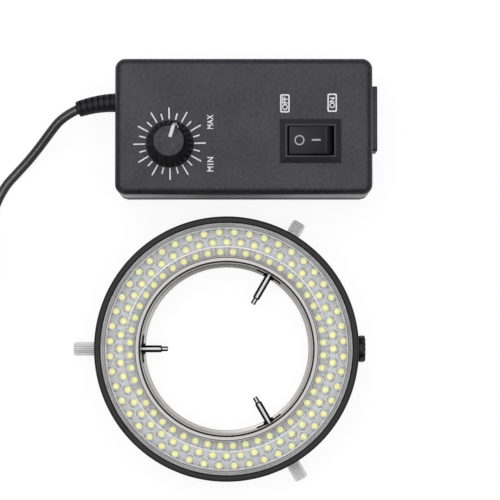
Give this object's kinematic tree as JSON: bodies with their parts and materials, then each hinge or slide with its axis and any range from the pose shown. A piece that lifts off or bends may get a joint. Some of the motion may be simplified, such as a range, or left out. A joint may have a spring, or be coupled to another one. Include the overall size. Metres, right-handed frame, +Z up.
{
  "type": "microscope ring light",
  "caption": "Microscope ring light: flat LED ring with clear cover and knurled thumb screws, on a lead from a dimmer box with dial and rocker switch.",
  "frame": {"origin": "middle of the footprint of ring head and dimmer box together, without the coiled lead, on the table", "axes": "+Z up, out of the LEDs and the dimmer's panel; +Y from the ring head to the dimmer box; +X towards the mains inlet and the ring head's jack"},
  "size_m": [0.1917, 0.1562, 0.0456],
  "materials": {
    "black_plastic": "satin black",
    "case_plastic": "fine matte texture",
    "knob_plastic": "satin with fine ribs",
    "soft_plastic": "matte soft vinyl",
    "aluminium": "turned, satin",
    "steel": "dark, lightly oiled",
    "nickel": "nickel plated",
    "brass": "plain",
    "copper": "enamelled copper",
    "white_board": "satin solder mask",
    "green_board": "satin solder mask",
    "clear_led": "clear epoxy",
    "clear_plate": "clear, polished",
    "transformer_tape": "yellow tape",
    "capacitor_sleeve": "dark blue sleeve",
    "red_sleeve": "red vinyl",
    "black_sleeve": "black vinyl",
    "brown_sleeve": "brown vinyl",
    "blue_sleeve": "blue vinyl"
  },
  "bodies": {
    "root": {"board_wire_negative": "black_sleeve", "board_wire_positive": "red_sleeve", "case_back": "case_plastic", "case_front": "case_plastic", "case_screw_1": "steel", "case_screw_2": "steel", "case_screw_3": "steel", "case_screw_4": "steel", "choke": "copper", "clear_cover": "clear_plate", "collar_screw_1": "steel", "collar_screw_2": "steel", "collar_screw_3": "steel", "driver_board": "green_board", "fuse": "nickel", "inlet_housing": "black_plastic", "inlet_pin_live": "nickel", "inlet_pin_neutral": "nickel", "led_board": "white_board", "led_circle_inner": "clear_led", "led_circle_middle": "clear_led", "led_circle_outer": "clear_led", "mains_capacitor": "capacitor_sleeve", "mounting_collar": "aluminium", "output_capacitor": "capacitor_sleeve", "output_coil": "soft_plastic", "output_lead": "soft_plastic", "plug_barrel": "nickel", "plug_body": "soft_plastic", "plug_lead": "soft_plastic", "potentiometer_body": "steel", "potentiometer_nut": "nickel", "potentiometer_washer": "nickel", "regulator": "soft_plastic", "ring_housing": "black_plastic", "ring_jack_body": "soft_plastic", "ring_jack_bushing": "black_plastic", "ring_jack_pin": "nickel", "rocker_housing": "black_plastic", "strain_relief": "soft_plastic", "switch_terminal_line": "brass", "switch_terminal_load": "brass", "transformer": "transformer_tape", "wire_live": "brown_sleeve", "wire_neutral": "blue_sleeve", "wire_output": "black_sleeve", "wire_switched": "brown_sleeve"},
    "dimmer": {"dimmer_knob": "knob_plastic", "potentiometer_shaft": "nickel"},
    "rocker": {"rocker_paddle": "black_plastic"},
    "screw_shank_left": {"thumb_screw_shank_left": "steel"},
    "screw_head_left": {"thumb_screw_head_left": "aluminium"},
    "screw_shank_upper": {"thumb_screw_shank_upper": "steel"},
    "screw_head_upper": {"thumb_screw_head_upper": "aluminium"},
    "screw_shank_lower": {"thumb_screw_shank_lower": "steel"},
    "screw_head_lower": {"thumb_screw_head_lower": "aluminium"}
  },
  "joints": [
    {"name": "dimmer_turn", "type": "hinge", "parent": "root", "child": "dimmer", "pos_m": [-0.01925, 0.04517, 0.0324], "axis": [0, 0, 1], "range_deg": [-43.3, 256.7]},
    {"name": "rocker_tilt", "type": "hinge", "parent": "root", "child": "rocker", "pos_m": [0.03065, 0.04627, 0.0311], "axis": [0, 1, 0], "range_deg": [0, 22]},
    {"name": "screw_travel_left", "type": "slide", "parent": "root", "child": "screw_shank_left", "axis": [-1, 0, 0], "range_m": [-0.008, 0.008]},
    {"name": "screw_turn_left", "type": "hinge", "parent": "screw_shank_left", "child": "screw_head_left", "pos_m": [-0.05485, -0.02743, 0.007], "axis": [-1, 0, 0], "range_deg": [-5760, 5760]},
    {"name": "screw_travel_upper", "type": "slide", "parent": "root", "child": "screw_shank_upper", "axis": [0.5, 0.866, 0], "range_m": [-0.006, 0.008]},
    {"name": "screw_turn_upper", "type": "hinge", "parent": "screw_shank_upper", "child": "screw_head_upper", "pos_m": [0.02725, 0.01847, 0.007], "axis": [0.5, 0.866, 0], "range_deg": [-4320, 5760]},
    {"name": "screw_travel_lower", "type": "slide", "parent": "root", "child": "screw_shank_lower", "axis": [0.5, -0.866, 0], "range_m": [-0.0075, 0.008]},
    {"name": "screw_turn_lower", "type": "hinge", "parent": "screw_shank_lower", "child": "screw_head_lower", "pos_m": [0.028, -0.07462, 0.007], "axis": [0.5, -0.866, 0], "range_deg": [-5400, 5760]}
  ],
  "couplings": [
    {"joint": "screw_turn_left", "follows": "screw_travel_left", "rad_per_m": 12566},
    {"joint": "screw_turn_upper", "follows": "screw_travel_upper", "rad_per_m": 12566},
    {"joint": "screw_turn_lower", "follows": "screw_travel_lower", "rad_per_m": 12566}
  ]
}
